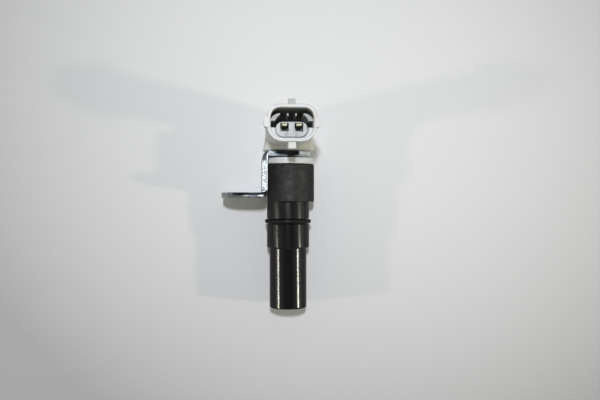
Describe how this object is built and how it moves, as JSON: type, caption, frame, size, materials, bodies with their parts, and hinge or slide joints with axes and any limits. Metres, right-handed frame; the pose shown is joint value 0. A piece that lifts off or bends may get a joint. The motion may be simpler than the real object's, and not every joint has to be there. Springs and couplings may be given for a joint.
{
  "type": "pulse sensor",
  "caption": "Probe-style pulse sensor: black probe with a sealing ring, folded zinc bracket and a white angled plug socket.",
  "frame": {"origin": "centre of the flat sensing face at the probe's tip", "axes": "+Y along the probe from the sensing face to the head, +Z out of the plug socket's mouth, foot of the bracket towards -X"},
  "size_m": [0.0389, 0.0844, 0.0427],
  "materials": {
    "black_plastic": "matte collar, glossy probe",
    "black_rubber": "satin",
    "zinc_plate": "bright zinc plating, sheared edges",
    "white_plastic": "fine satin moulding",
    "contact_metal": "bright",
    "soft_iron": "turned",
    "nickel_plate": "satin",
    "washer_steel": "satin",
    "bobbin_plastic": "matte",
    "enamelled_copper": "enamelled",
    "amber_tape": "glossy",
    "potting": "cast"
  },
  "bodies": {
    "root": {"connector_head": "white_plastic", "terminal_left": "contact_metal", "terminal_right": "contact_metal", "mounting_bracket": "zinc_plate", "housing": "black_plastic", "sealing_ring": "black_rubber", "coil_bobbin": "bobbin_plastic", "coil_winding": "enamelled_copper", "winding_tape": "amber_tape", "pole_piece": "soft_iron", "magnet": "nickel_plate", "yoke_washer": "washer_steel", "lead_left": "enamelled_copper", "lead_right": "enamelled_copper", "potting_plug": "potting"}
  },
  "joints": []
}
